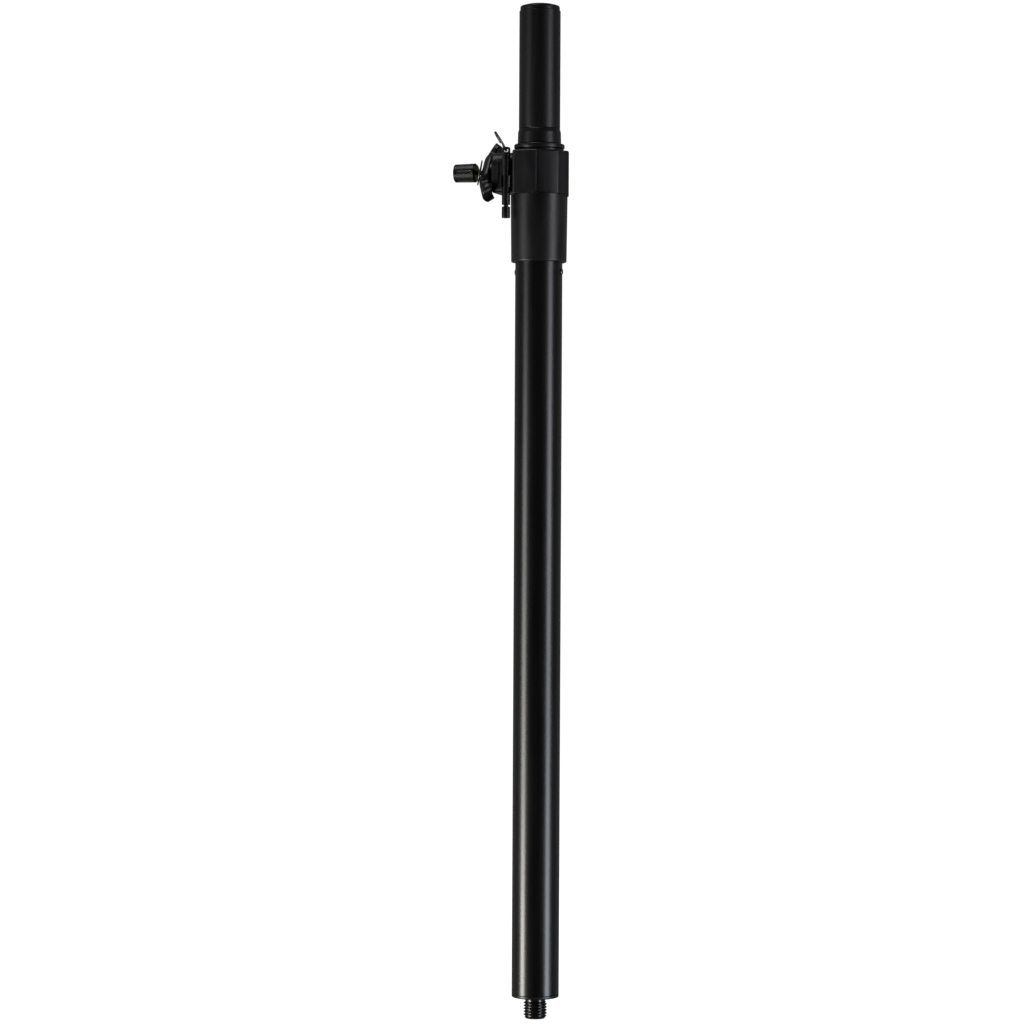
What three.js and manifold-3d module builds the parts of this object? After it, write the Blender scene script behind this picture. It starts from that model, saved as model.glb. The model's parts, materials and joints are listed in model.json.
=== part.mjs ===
// Telescopic distance pole that holds a loudspeaker above a bass cabinet.
// Millimetres, +Z up along the pole. The origin is the centre of the shoulder face that lies on the cabinet:
// the threaded stud points down from it and the mast slides up from it. The clamp axis points along -X.

import * as THREE from 'three';
import { mergeVertices } from 'three/addons/utils/BufferGeometryUtils.js';
import Module from 'manifold-3d';

const wasm = await Module();
wasm.setup();

// ---------------------------------------------------------------- driving dimensions

const GAP = 0.3;                 // clearance between pieces that touch
const ROUND = 36;                // sides of a large round piece
const SMALL_ROUND = 20;          // sides of a small round piece
const TINY_ROUND = 10;           // sides of a rivet or a pin hole

const TUBE_R = 20;               // outer tube
const TUBE_BORE_R = 18.5;
const TUBE_TOP = 688;
const MAST_R = 16;               // sliding inner tube
const MAST_BORE_R = 14;
const MAST_BOTTOM = 58.5;
const MAST_TOP = 834;
const TRAVEL = 500;              // how far the mast slides out

const STUD_R = 10;               // M20 stud, pitch 2.5
const STUD_ROOT_R = 8.5;
const STUD_PITCH = 2.5;
const STUD_LENGTH = 18;
const CAP_LIP = 2.5;             // visible rim of the bottom cap
const CAP_PLUG_TOP = 38;

const GUIDE_BOTTOM = 600;        // upper guide bush inside the outer tube
const GUIDE_TOP = 676;
const GUIDE_RIVET_Z = 614;
const LOWER_BUSH_TOP = 92;
const STOP_RIVET_Z = 95.5;
const END_PLUG_BOTTOM = 55;      // plug in the mast's lower end
const END_PLUG_TOP = 76;

const SOCKET_BOTTOM = 622;       // conical socket over the tube's top end
const SOCKET_BOTTOM_R = 23.5;
const SOCKET_TOP_R = 24.15;
const COLLAR_BOTTOM = 679.3;     // faceted clamp collar
const COLLAR_TOP = 716.1;
const COLLAR_BACK = 26.4;        // vertex opposite the clamp
const COLLAR_SIDE = 23.3;        // half width across the flat flanks
const COLLAR_CORNER = [20.6, 12.6];   // where the back facets meet the slanted ones
const COLLAR_FLANK_X = 4.2;      // where the slanted facets meet the flat flanks
const COLLAR_FRONT = 17.2;       // where the flanks end, towards the clamp
const COLLAR_LIP_R = 16.6;
const COLLAR_SKIRT = 2;          // how far the collar reaches down at its back

const CLAMP_Z = 699.6;           // height of the clamp axis
const COLLAR_NECK_R = 20.5;      // low neck round the mast, under the support ring
const BOSS_SIDE = 14;            // half width of the boss block
const BOSS_BOTTOM = 681;
const BOSS_TOP = 715.7;
const BOSS_END = 38.3;           // how far the block stands out from the pole's axis
const BOSS_ROUND_HIGH = 12;      // the block's upper corners are fuller than its lower ones
const BOSS_ROUND_LOW = 4;
const BOSS_CHAMFER = 1.2;
const BOSS_GROOVE_X = -31.2;     // upright groove in each flank of the block

const SCREW_R = 7;               // hollow clamp screw
const SCREW_START = 22.6;
const SCREW_END = 47.7;
const SCREW_SHOULDER = 46;
const KNOB_TIP_R = 29.3;         // clamp knob: a bar with two wings that sweep back towards the pole
const KNOB_HALF_WIDE = 9.5;
const KNOB_SQUARE = 4.5;         // how square the bar's ends are in plan: 2 would make an ellipse
const KNOB_FACE = 50.9;
const KNOB_SLOPE = 0.39;         // sweep of the wings, for each millimetre of reach
const KNOB_SWEEP_FROM = 13.8;
const KNOB_CROWN = 6;            // how far the bar's flanks lie behind its ridge
const KNOB_UNDERCUT = 0.14;      // how far the wings' ends draw in towards the back
const KNOB_UNDERSIDE = [[0, 41.5], [14, 41.5], [18, 40.6], [22, 38.7], [24.5, 36.6], [30, 35.2]];
const KNOB_HUB_R = 9;
const KNOB_HUB_END = 40.3;
const WING_TURN = THREE.MathUtils.degToRad(37);
const HUB_RING_R = 10.4;         // loose wire ring on the knob's face
const HUB_RING_WIRE_R = 0.55;
const HUB_RING_MIDDLE = 53.1;
const HUB_RING_YAW = THREE.MathUtils.degToRad(18);
const HUB_RING_TIP = THREE.MathUtils.degToRad(10);

const PLUNGER_R = 3;             // spring-loaded locking pin
const PLUNGER_ROD_R = 2;
const PLUNGER_SHOULDER = 24;
const PLUNGER_END = 70;
const SPRING_END = 45.3;
const BUSH_START = 55.5;         // metal bush that joins the rod to the head
const BUSH_END = 60;
const BUSH_R = 7.1;
const HEAD_START = 56.8;         // fluted pull head
const HEAD_END = 74.9;
const HEAD_INNER_R = 8.1;
const HEAD_OUTER_R = 7.6;
const HEAD_RECESS_R = 7.4;
const HEAD_FLUTES = 6;
const FLUTE_R = 2.4;
const FLUTE_DEPTH = 0.9;

const PIN_R = 3.55;              // loose safety pin, kept in a clip on the boss
const PIN_X = -23.4;
const PIN_Y = -18.9;
const PIN_BOTTOM = 658.7;
const PIN_TOP = 718.7;
const PIN_GROOVE = PIN_BOTTOM + 9.5;
const PIN_GROOVE_R = 1.9;
const CLIP_BOTTOM = 684.5;
const CLIP_TOP = 694.5;
const EYE_Z = PIN_TOP - 3;
const EYE_R = 1.7;
const EYE_YAW = THREE.MathUtils.degToRad(18);      // the eye's hole turns this far from the Y axis
const RING_MEAN_R = 9.2;
const RING_LEAN = THREE.MathUtils.degToRad(31.5);  // how far the ring leans over towards the knob

const SPIGOT_R = 17.5;           // 35 mm spigot
const SLEEVE_BOTTOM = 735.3;
const SLEEVE_TOP = 835;
const SPIGOT_TOP = 840.6;
const SPIGOT_CAP_R = 16.8;
const SPIGOT_PLUG_BOTTOM = 812;
const BAND_R = 18.2;
const BAND_BOTTOM = 722.3;
const BAND_TAPER = 731.8;        // the band narrows from here up to the sleeve
const SEAT_R = 21.4;             // ring that the loudspeaker rests on
const SEAT_BOTTOM = 718.1;
const SEAT_TOP = 721.9;

// ---------------------------------------------------------------- materials

function finish(color, roughness, metalness) {
  return new THREE.MeshStandardMaterial({ color, roughness, metalness });
}

const paint = () => finish(0x101011, 0.32, 0.2);
const plastic = () => finish(0x1a1a1c, 0.62, 0);
const nylon = () => finish(0xd8d6cc, 0.6, 0);
const steel = () => finish(0x8c8f92, 0.35, 0.9);
const blackSteel = () => finish(0x18181a, 0.35, 0.7);
const brass = () => finish(0xa89a5e, 0.4, 0.9);

// ---------------------------------------------------------------- solids

// A closed three.js geometry as a solid that can be joined and cut, with its faces pointing out.
function solid(geometry) {
  const bare = geometry.clone();
  bare.deleteAttribute('normal');
  bare.deleteAttribute('uv');
  const merged = mergeVertices(bare, 1e-4);
  const corners = [];
  const point = [new THREE.Vector3(), new THREE.Vector3(), new THREE.Vector3()];
  let volume = 0;
  for (let i = 0; i < merged.index.count; i += 3) {
    const [a, b, c] = [0, 1, 2].map((k) => merged.index.getX(i + k));
    if (a === b || b === c || c === a) continue;
    corners.push(a, b, c);
    [a, b, c].forEach((vertex, k) => point[k].fromBufferAttribute(merged.attributes.position, vertex));
    volume += point[0].dot(point[1].cross(point[2]));
  }
  if (volume < 0) corners.reverse();
  return new wasm.Manifold(new wasm.Mesh({
    numProp: 3,
    vertProperties: Float32Array.from(merged.attributes.position.array),
    triVerts: Uint32Array.from(corners),
  }));
}

function join(...solids) {
  return solids.reduce((whole, next) => whole.add(next));
}

function cut(whole, ...tools) {
  return tools.reduce((rest, tool) => rest.subtract(tool), whole);
}

function piece(name, shape, material) {
  const result = shape.getMesh();
  const geometry = new THREE.BufferGeometry();
  geometry.setAttribute('position', new THREE.Float32BufferAttribute(result.vertProperties, 3));
  geometry.setIndex(new THREE.Uint32BufferAttribute(result.triVerts, 1));
  geometry.computeVertexNormals();
  const mesh = new THREE.Mesh(geometry, material);
  mesh.name = name;
  return mesh;
}

// Turns a profile of [radius, height] points about the Z axis. A profile off the axis closes on itself.
function revolved(profile, sides = ROUND) {
  const outline = profile[0][0] === 0 ? profile : [...profile, profile[0]];
  const points = outline.map(([radius, height]) => new THREE.Vector2(radius, height));
  return new THREE.LatheGeometry(points, sides).rotateX(Math.PI / 2);
}

function pipe(boreR, outerR, bottom, top, sides = ROUND) {
  return revolved([[boreR, bottom], [outerR, bottom], [outerR, top], [boreR, top]], sides);
}

function rod(radius, bottom, top, sides = ROUND) {
  return revolved([[0, bottom], [radius, bottom], [radius, top], [0, top]], sides);
}

// Lays a shape built along +Z on the clamp axis, so that its height becomes the distance from the pole's axis.
function onClampAxis(geometry, height = CLAMP_Z) {
  return geometry.rotateY(-Math.PI / 2).translate(0, 0, height);
}

// An outline of [x, y] points, symmetric about the X axis: the half with y > 0 is given, back to front.
function mirroredOutline(half) {
  const other = half.filter(([, y]) => y !== 0).reverse().map(([x, y]) => [x, -y]);
  return new THREE.Shape([...half, ...other].map(([x, y]) => new THREE.Vector2(x, y)));
}

// A rectangle with one radius on the corners at +X and another on those at -X.
function roundedRectangle(halfX, halfY, high, low) {
  const shape = new THREE.Shape();
  shape.moveTo(halfX, -halfY + high);
  shape.absarc(halfX - high, halfY - high, high, 0, Math.PI / 2);
  shape.absarc(-halfX + low, halfY - low, low, Math.PI / 2, Math.PI);
  shape.absarc(-halfX + low, -halfY + low, low, Math.PI, 1.5 * Math.PI);
  shape.absarc(halfX - high, -halfY + high, high, 1.5 * Math.PI, 2 * Math.PI);
  return shape;
}

// Extrudes an outline from bottom to top, with both end edges bevelled.
function prism(shape, bottom, top, bevel) {
  return new THREE.ExtrudeGeometry(shape, {
    depth: top - bottom - 2 * bevel,
    bevelEnabled: bevel > 0,
    bevelThickness: bevel,
    bevelSize: bevel,
    bevelOffset: -bevel,
    bevelSegments: 2,
    curveSegments: 4,
  }).translate(0, 0, bottom + bevel);
}

// ---------------------------------------------------------------- outer tube, bottom cap and stud

function outerTube() {
  const wall = solid(pipe(TUBE_BORE_R, TUBE_R, CAP_LIP + GAP, TUBE_TOP));
  return cut(wall, guideRivetHoles());
}

function bottomCap() {
  const boreR = STUD_R + GAP;
  const plugR = TUBE_BORE_R - GAP;
  const edge = 1.2;
  return solid(revolved([
    [boreR, 0], [TUBE_R - edge, 0], [TUBE_R - 0.35, 0.35], [TUBE_R, edge], [TUBE_R, CAP_LIP],
    [plugR, CAP_LIP], [plugR, CAP_PLUG_TOP - 1], [plugR - 1, CAP_PLUG_TOP], [boreR, CAP_PLUG_TOP],
  ]));
}

// The thread is a row of ring grooves at the real pitch.
function studBolt() {
  const headBottom = CAP_PLUG_TOP + 3;
  const headHeight = 12;
  const neck = 3.4;
  const profile = [[0, -STUD_LENGTH], [STUD_ROOT_R - 0.3, -STUD_LENGTH]];
  const turns = Math.floor((STUD_LENGTH - neck) / STUD_PITCH);
  for (let turn = turns; turn > 0; turn -= 1) {
    const crest = -neck - (turn - 0.5) * STUD_PITCH;
    profile.push([STUD_R, crest - 0.2], [STUD_R, crest + 0.2], [STUD_ROOT_R, crest + STUD_PITCH / 2]);
  }
  profile.push([STUD_ROOT_R, -0.4], [STUD_R - 0.1, 0.4], [STUD_R - 0.1, headBottom + 1], [0, headBottom + 1]);
  const acrossCorners = 17.3;
  const head = new THREE.CylinderGeometry(acrossCorners, acrossCorners, headHeight, 6)
    .rotateX(Math.PI / 2)
    .translate(0, 0, headBottom + headHeight / 2);
  return join(solid(revolved(profile, 24)), solid(head));
}

function lockWasher() {
  return solid(pipe(STUD_R + 0.4, 16, CAP_PLUG_TOP + GAP, CAP_PLUG_TOP + 2.7, SMALL_ROUND));
}

// ---------------------------------------------------------------- guides and their rivets

function guideRivetHoles() {
  return solid(onClampAxis(rod(2.3, -TUBE_R - 2, TUBE_R + 2, TINY_ROUND), GUIDE_RIVET_Z));
}

function upperGuideBush() {
  return cut(solid(pipe(MAST_R + GAP, TUBE_BORE_R - GAP, GUIDE_BOTTOM, GUIDE_TOP)), guideRivetHoles());
}

// A blind rivet along the clamp axis, or along the other side of the pole when side is -1.
function rivet(side, height, shankR, shankFrom, seat, headR, headHeight) {
  const profile = [
    [0, shankFrom], [shankR, shankFrom], [shankR, seat], [headR, seat],
    [headR * 0.85, seat + headHeight * 0.6], [headR * 0.4, seat + headHeight], [0, seat + headHeight],
  ];
  const shape = onClampAxis(revolved(profile, TINY_ROUND), height);
  return solid(side > 0 ? shape : shape.rotateZ(Math.PI));
}

function guideRivet(side) {
  return rivet(side, GUIDE_RIVET_Z, 2, MAST_R + 0.6, TUBE_R + GAP, 3, 0.9);
}

function stopRivet(side) {
  return rivet(side, STOP_RIVET_Z, 1.8, MAST_BORE_R - 0.6, MAST_R + GAP, 2.6, 1.3);
}

// ---------------------------------------------------------------- socket and clamp collar

function tubeSocket() {
  const top = COLLAR_BOTTOM - GAP;
  const boreR = TUBE_R + GAP;
  return solid(revolved([
    [boreR, SOCKET_BOTTOM + 0.8], [boreR + 0.8, SOCKET_BOTTOM], [SOCKET_BOTTOM_R - 1.2, SOCKET_BOTTOM],
    [SOCKET_BOTTOM_R - 0.3, SOCKET_BOTTOM + 0.5], [SOCKET_BOTTOM_R, SOCKET_BOTTOM + 1.6],
    [SOCKET_TOP_R, top], [boreR, top],
  ]));
}

function collarShell() {
  const outline = mirroredOutline([
    [COLLAR_BACK, 0], COLLAR_CORNER, [COLLAR_FLANK_X, COLLAR_SIDE],
    [-COLLAR_FRONT + 1, COLLAR_SIDE], [-COLLAR_FRONT, COLLAR_SIDE - 1], [-COLLAR_FRONT, BOSS_SIDE - 2],
  ]);
  return solid(prism(outline, COLLAR_BOTTOM, COLLAR_TOP, 1));
}

// The back facets reach a little way down past the socket's top.
function collarSkirt() {
  const outline = mirroredOutline([[COLLAR_BACK, 0], COLLAR_CORNER, [COLLAR_CORNER[0] - 2, 8]]);
  const skirt = solid(prism(outline, COLLAR_BOTTOM - COLLAR_SKIRT, COLLAR_BOTTOM + 3, 0));
  return cut(skirt, solid(rod(SOCKET_TOP_R + GAP, COLLAR_BOTTOM - 5, COLLAR_BOTTOM)));
}

function bossBlock() {
  const height = BOSS_TOP - BOSS_BOTTOM;
  const section = roundedRectangle(height / 2, BOSS_SIDE, BOSS_ROUND_HIGH, BOSS_ROUND_LOW);
  const middle = (BOSS_TOP + BOSS_BOTTOM) / 2;
  return solid(onClampAxis(prism(section, 8, BOSS_END, BOSS_CHAMFER), middle));
}

// Shallow upright grooves in both flanks of the boss.
function bossGrooves() {
  const groove = (side) => solid(new THREE.BoxGeometry(1.3, 1.6, BOSS_TOP - BOSS_BOTTOM - 12)
    .translate(BOSS_GROOVE_X, side * BOSS_SIDE, CLAMP_Z));
  return join(groove(1), groove(-1));
}

// An open spring clip that holds the safety pin: its mouth looks away from the boss.
function pinClip() {
  const clipR = PIN_R + 2.1;
  const middle = (CLIP_BOTTOM + CLIP_TOP) / 2;
  const ring = solid(pipe(PIN_R + GAP, clipR, CLIP_BOTTOM, CLIP_TOP, SMALL_ROUND).translate(PIN_X, PIN_Y, 0));
  const mouth = solid(new THREE.BoxGeometry(5.6, clipR, CLIP_TOP - CLIP_BOTTOM + 1)
    .translate(PIN_X, PIN_Y - clipR / 2 - 1, middle));
  return cut(ring, mouth);
}

function clampCollar() {
  const neck = solid(rod(COLLAR_NECK_R, COLLAR_TOP - 1, SEAT_BOTTOM - GAP));
  const body = join(collarShell(), neck, collarSkirt(), bossBlock(), pinClip());
  const bore = join(
    solid(rod(COLLAR_LIP_R, COLLAR_BOTTOM - 1, SEAT_BOTTOM)),
    solid(rod(TUBE_BORE_R, COLLAR_BOTTOM - 1, COLLAR_TOP - 2.3)),
    solid(rod(TUBE_R + GAP, COLLAR_BOTTOM - 1, TUBE_TOP + GAP)),
  );
  const screwBore = solid(onClampAxis(revolved([
    [0, 10], [SCREW_R + 0.6, 10], [SCREW_R + 0.6, 23.2], [10.3, 23.2], [10.3, BOSS_END + 1], [0, BOSS_END + 1],
  ], SMALL_ROUND)));
  return cut(body, bore, screwBore, bossGrooves());
}

// Split bush that the clamp closes on the mast. Its hole lets the locking pin through.
function gripBush() {
  const wall = solid(pipe(MAST_R + GAP, TUBE_BORE_R - GAP, GUIDE_TOP + GAP, COLLAR_TOP - 2.6));
  const split = solid(new THREE.BoxGeometry(6, 2.4, 60).translate(MAST_R + 2, 0, CLAMP_Z));
  const hole = solid(onClampAxis(rod(PLUNGER_R + 0.4, 10, 20, TINY_ROUND)));
  return cut(wall, split, hole);
}

// ---------------------------------------------------------------- clamp screw and knob

function threadedInsert() {
  return solid(onClampAxis(pipe(SCREW_R + GAP, 10, 23.6, BOSS_END - 0.6, SMALL_ROUND)));
}

function pressurePad() {
  const disc = solid(onClampAxis(pipe(PLUNGER_R + 0.4, SCREW_R + 0.2, 15, SCREW_START - GAP, SMALL_ROUND)));
  return cut(disc, solid(rod(TUBE_BORE_R, CLAMP_Z - 12, CLAMP_Z + 12)));
}

function clampScrew() {
  const boreR = PLUNGER_R + 0.4;
  return solid(onClampAxis(revolved([
    [boreR, SCREW_START], [SCREW_R - 1, SCREW_START], [SCREW_R, SCREW_START + 1], [SCREW_R, SCREW_END],
    [PLUNGER_ROD_R + 0.4, SCREW_END], [PLUNGER_ROD_R + 0.4, SCREW_SHOULDER], [boreR, SCREW_SHOULDER],
  ], SMALL_ROUND)));
}

// Joins rows of points into one closed skin: each row is a loop, and the last row joins the first again.
function skin(rows) {
  const corners = [];
  rows.forEach((row, r) => {
    const next = rows[(r + 1) % rows.length];
    row.forEach((corner, i) => {
      const j = (i + 1) % row.length;
      corners.push(...corner, ...row[j], ...next[j], ...corner, ...next[j], ...next[i]);
    });
  });
  const geometry = new THREE.BufferGeometry();
  geometry.setAttribute('position', new THREE.Float32BufferAttribute(corners, 3));
  return geometry;
}

// Reach of the knob's outline at a direction from the wings' line.
function knobReach(direction) {
  const along = Math.abs(Math.cos(direction)) / KNOB_TIP_R;
  const across = Math.abs(Math.sin(direction)) / KNOB_HALF_WIDE;
  return (along ** KNOB_SQUARE + across ** KNOB_SQUARE) ** (-1 / KNOB_SQUARE);
}

function knobFace(along, across) {
  const sweep = KNOB_SLOPE * Math.max(0, Math.hypot(along, 4) - KNOB_SWEEP_FROM);
  return KNOB_FACE - sweep - KNOB_CROWN * Math.min(1.3, Math.abs(across) / KNOB_HALF_WIDE) ** 2.2;
}

// The knob is hollow behind, so that it clears the boss as it turns.
function knobUnderside(radius) {
  const next = KNOB_UNDERSIDE.findIndex(([reach]) => reach >= radius);
  const [r0, s0] = KNOB_UNDERSIDE[Math.max(0, next - 1)];
  const [r1, s1] = KNOB_UNDERSIDE[Math.max(1, next)];
  return s0 + ((s1 - s0) * (radius - r0)) / (r1 - r0);
}

function clampKnob() {
  const sides = 56;
  const holeR = PLUNGER_ROD_R + 0.4;
  const web = SCREW_END + GAP;

  function row(place) {
    return Array.from({ length: sides }, (_, i) => {
      const turn = (2 * Math.PI * i) / sides;
      const direction = Math.atan2(0.4 * Math.sin(turn), Math.cos(turn));
      const [along, across, height] = place(direction, knobReach(direction));
      return new THREE.Vector3(along, across, height).applyAxisAngle(new THREE.Vector3(0, 0, 1), WING_TURN).toArray();
    });
  }

  const ring = (radius, height) => row((direction) => [
    radius * Math.cos(direction), radius * Math.sin(direction), height]);

  const face = (share) => row((direction, reach) => {
    const radius = holeR + (reach - holeR) * share;
    const [along, across] = [radius * Math.cos(direction), radius * Math.sin(direction)];
    return [along, across, knobFace(along, across)];
  });

  const underside = (share) => row((direction, reach) => {
    const draw = 1 - (KNOB_UNDERCUT * reach * Math.abs(Math.cos(direction))) / KNOB_TIP_R;
    const [along, across] = [reach * Math.cos(direction) * draw, reach * Math.sin(direction)];
    const radius = KNOB_HUB_R + (Math.hypot(along, across) - KNOB_HUB_R) * share;
    const angle = Math.atan2(across, along);
    return [radius * Math.cos(angle), radius * Math.sin(angle), knobUnderside(radius)];
  });

  return solid(onClampAxis(skin([
    ...[0, 0.25, 0.5, 0.75, 1].map(face),
    ...[1, 0.88, 0.74, 0.5, 0].map(underside),
    ring(KNOB_HUB_R - 0.2, KNOB_HUB_END), ring(SCREW_R + GAP, KNOB_HUB_END),
    ring(SCREW_R + GAP, web), ring(holeR, web),
  ])));
}

// Loose wire ring on the knob's face, a little askew.
function hubRing() {
  const ring = new THREE.TorusGeometry(HUB_RING_R, HUB_RING_WIRE_R, 6, 28);
  return solid(onClampAxis(ring.rotateY(HUB_RING_TIP).rotateX(HUB_RING_YAW).translate(0, 0, HUB_RING_MIDDLE)));
}

// ---------------------------------------------------------------- locking plunger

function plungerPin() {
  return solid(onClampAxis(revolved([
    [0, MAST_R + GAP], [PLUNGER_R - 1, MAST_R + GAP], [PLUNGER_R, MAST_R + 1.5], [PLUNGER_R, PLUNGER_SHOULDER],
    [PLUNGER_ROD_R, PLUNGER_SHOULDER], [PLUNGER_ROD_R, PLUNGER_END], [0, PLUNGER_END],
  ], SMALL_ROUND)));
}

class Helix extends THREE.Curve {
  constructor(radius, from, to, turns) {
    super();
    Object.assign(this, { radius, from, to, turns });
  }

  getPoint(t, target = new THREE.Vector3()) {
    const angle = 2 * Math.PI * this.turns * t;
    const height = this.from + (this.to - this.from) * t;
    return target.set(this.radius * Math.cos(angle), this.radius * Math.sin(angle), height);
  }
}

function plungerSpring() {
  const wireR = 0.3;
  const turns = 7;
  const wire = new THREE.Shape();
  wire.absarc(0, 0, wireR, 0, 2 * Math.PI);
  const path = new Helix(2.7, PLUNGER_SHOULDER + 0.7, SPRING_END, turns);
  return solid(onClampAxis(new THREE.ExtrudeGeometry(wire, {
    steps: turns * 10,
    extrudePath: path,
    curveSegments: 3,
    bevelEnabled: false,
  })));
}

function headBush() {
  return solid(onClampAxis(pipe(PLUNGER_ROD_R + GAP, BUSH_R, BUSH_START, BUSH_END, SMALL_ROUND)));
}

function pullHead() {
  const boreR = PLUNGER_ROD_R + GAP;
  const body = solid(onClampAxis(revolved([
    [0, HEAD_START], [HEAD_INNER_R - 0.5, HEAD_START], [HEAD_INNER_R, HEAD_START + 0.7],
    [HEAD_OUTER_R, HEAD_END - 1], [HEAD_OUTER_R - 1, HEAD_END], [0, HEAD_END],
  ], 32)));
  const recess = solid(onClampAxis(revolved([
    [0, HEAD_START - 1], [HEAD_RECESS_R, HEAD_START - 1], [HEAD_RECESS_R, BUSH_END + GAP],
    [boreR, BUSH_END + GAP], [boreR, PLUNGER_END + GAP], [0, PLUNGER_END + GAP],
  ], 32)));
  const flutes = [];
  for (let i = 0; i < HEAD_FLUTES; i += 1) {
    const angle = (2 * Math.PI * (i + 0.5)) / HEAD_FLUTES;
    const reach = HEAD_INNER_R + FLUTE_R - FLUTE_DEPTH;
    const flute = rod(FLUTE_R, HEAD_START + 2.5, HEAD_END - 2.5, TINY_ROUND);
    flutes.push(solid(onClampAxis(flute.translate(reach * Math.cos(angle), reach * Math.sin(angle), 0))));
  }
  return cut(body, recess, ...flutes);
}

// ---------------------------------------------------------------- safety pin and its ring

function safetyPin() {
  const shank = solid(revolved([
    [0, PIN_BOTTOM], [PIN_R - 0.4, PIN_BOTTOM], [PIN_R, PIN_BOTTOM + 0.4],
    [PIN_R, PIN_GROOVE], [PIN_GROOVE_R, PIN_GROOVE + 0.4], [PIN_GROOVE_R, PIN_GROOVE + 1.3],
    [PIN_R, PIN_GROOVE + 1.7], [PIN_R, PIN_TOP - 2.2],
    [PIN_R - 0.6, PIN_TOP - 0.9], [PIN_R - 2, PIN_TOP], [0, PIN_TOP],
  ], SMALL_ROUND).translate(PIN_X, PIN_Y, 0));
  const eye = solid(rod(EYE_R, -5, 5, TINY_ROUND)
    .rotateX(Math.PI / 2)
    .rotateZ(EYE_YAW)
    .translate(PIN_X, PIN_Y, EYE_Z));
  return cut(shank, eye);
}

// The ring runs through the eye and leans over towards the knob.
function splitRing() {
  const width = 1.2;
  const thickness = 1.5;
  const sag = 0.35;              // the ring's curve inside the eye, shared out on both sides of its middle
  const ring = pipe(RING_MEAN_R - width / 2, RING_MEAN_R + width / 2, -thickness / 2, thickness / 2, 32);
  return solid(ring
    .translate(RING_MEAN_R - sag, 0, 0)
    .rotateY(-Math.PI / 2 - RING_LEAN)
    .rotateZ(EYE_YAW)
    .translate(PIN_X, PIN_Y, EYE_Z));
}

// ---------------------------------------------------------------- mast

// The safety pin's holes go right through the mast, on the clamp's side.
function innerTube() {
  const holeStep = 50;
  const holes = [];
  for (let z = CLAMP_Z - holeStep / 2; z > GUIDE_TOP - TRAVEL + holeStep; z -= holeStep) {
    holes.push(solid(onClampAxis(rod(PIN_R + 0.45, -MAST_R - 2, MAST_R + 2, TINY_ROUND), z)));
  }
  const rivetHoles = solid(onClampAxis(rod(2.1, -MAST_R - 2, MAST_R + 2, TINY_ROUND), STOP_RIVET_Z));
  return cut(solid(pipe(MAST_BORE_R, MAST_R, MAST_BOTTOM, MAST_TOP)), rivetHoles, ...holes);
}

function innerEndPlug() {
  const plugR = MAST_BORE_R - GAP;
  const flangeR = TUBE_BORE_R - 0.9;
  const flangeTop = MAST_BOTTOM - GAP - 0.5;
  return solid(revolved([
    [0, END_PLUG_BOTTOM], [flangeR - 0.7, END_PLUG_BOTTOM], [flangeR, END_PLUG_BOTTOM + 0.7],
    [flangeR, flangeTop], [plugR, flangeTop], [plugR, END_PLUG_TOP], [0, END_PLUG_TOP],
  ]));
}

function lowerGuideBush() {
  return solid(pipe(MAST_R + GAP, TUBE_BORE_R - GAP, MAST_BOTTOM, LOWER_BUSH_TOP));
}

// The seat is the raised outer part of the ring's top: the band stands on the ledge inside it.
function supportRing() {
  const edge = 0.9;
  const ledgeR = BAND_R + 0.6;
  return solid(revolved([
    [MAST_R + GAP, SEAT_BOTTOM], [SEAT_R - edge, SEAT_BOTTOM], [SEAT_R - 0.2, SEAT_BOTTOM + 0.4],
    [SEAT_R, SEAT_BOTTOM + 1.2], [SEAT_R, SEAT_TOP - 1.1], [SEAT_R - 0.25, SEAT_TOP - 0.35],
    [SEAT_R - edge, SEAT_TOP], [ledgeR, SEAT_TOP], [ledgeR, SEAT_TOP - 0.4], [MAST_R + GAP, SEAT_TOP - 0.4],
  ]));
}

function supportBand() {
  return solid(revolved([
    [MAST_R + GAP, BAND_BOTTOM], [BAND_R + 0.25, BAND_BOTTOM], [BAND_R + 0.1, BAND_BOTTOM + 3],
    [BAND_R, BAND_TAPER], [SPIGOT_R + 0.1, BAND_TAPER + 2.6], [SPIGOT_R - 0.2, SLEEVE_BOTTOM - GAP],
    [MAST_R + GAP, SLEEVE_BOTTOM - GAP],
  ]));
}

function spigotSleeve() {
  return solid(pipe(MAST_R + GAP, SPIGOT_R, SLEEVE_BOTTOM, SLEEVE_TOP));
}

function spigotCap() {
  const plugR = MAST_BORE_R - GAP;
  const bottom = SLEEVE_TOP + GAP;
  return solid(revolved([
    [0, SPIGOT_PLUG_BOTTOM], [plugR, SPIGOT_PLUG_BOTTOM], [plugR, bottom], [SPIGOT_CAP_R, bottom],
    [SPIGOT_CAP_R, SPIGOT_TOP - 3.2], [SPIGOT_CAP_R - 0.6, SPIGOT_TOP - 1.9], [SPIGOT_CAP_R - 2.3, SPIGOT_TOP - 0.9],
    [SPIGOT_CAP_R - 5.8, SPIGOT_TOP], [0, SPIGOT_TOP],
  ]));
}

// ---------------------------------------------------------------- the pole

const pole = new THREE.Group();

pole.add(
  piece('outer_tube', outerTube(), paint()),
  piece('bottom_cap', bottomCap(), plastic()),
  piece('stud_bolt', studBolt(), blackSteel()),
  piece('lock_washer', lockWasher(), steel()),
  piece('upper_guide_bush', upperGuideBush(), nylon()),
  piece('guide_rivet_front', guideRivet(1), steel()),
  piece('guide_rivet_back', guideRivet(-1), steel()),
  piece('tube_socket', tubeSocket(), plastic()),
  piece('clamp_collar', clampCollar(), plastic()),
  piece('grip_bush', gripBush(), nylon()),
  piece('threaded_insert', threadedInsert(), brass()),
);

pole.add(
  piece('pressure_pad', pressurePad(), brass()),
  piece('clamp_screw', clampScrew(), steel()),
  piece('clamp_knob', clampKnob(), plastic()),
  piece('hub_ring', hubRing(), steel()),
);

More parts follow.
